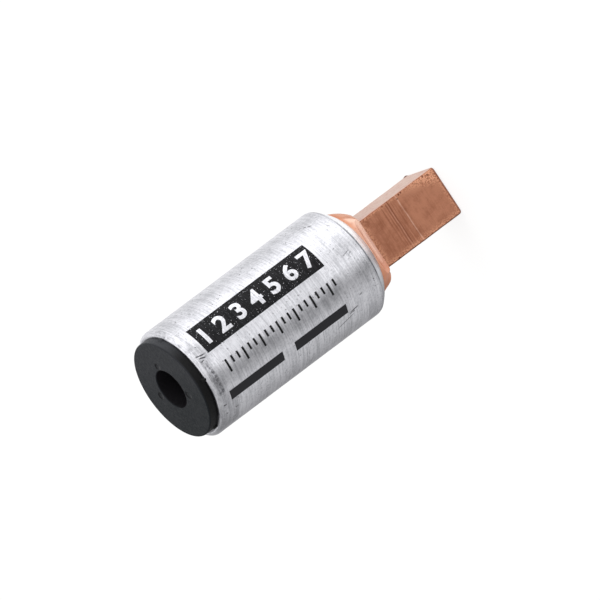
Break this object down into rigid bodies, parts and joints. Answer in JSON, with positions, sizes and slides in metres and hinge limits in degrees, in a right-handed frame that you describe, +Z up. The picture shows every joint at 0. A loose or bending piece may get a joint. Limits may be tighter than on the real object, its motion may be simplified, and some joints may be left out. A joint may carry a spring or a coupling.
{
  "type": "bimetallic pin terminal",
  "caption": "Crimp terminal with a round aluminium barrel, a square copper pin on a domed shoulder and a rubber cap in the cable mouth.",
  "frame": {"origin": "centre of the pin's end face, which is the lowest point of the part", "axes": "+Z up the common axis from the pin's tip to the cable mouth; the pin's broad faces look along Y and its narrow faces along X"},
  "size_m": [0.016, 0.016, 0.0469],
  "materials": {
    "aluminium": "satin, finely turned, with light handling marks",
    "copper": "bare copper, drawn and machined, slightly dulled",
    "cap_rubber": "matt black, moulded"
  },
  "bodies": {
    "root": {"barrel": "aluminium", "copper_pin": "copper", "sealing_cap": "cap_rubber"}
  },
  "joints": []
}
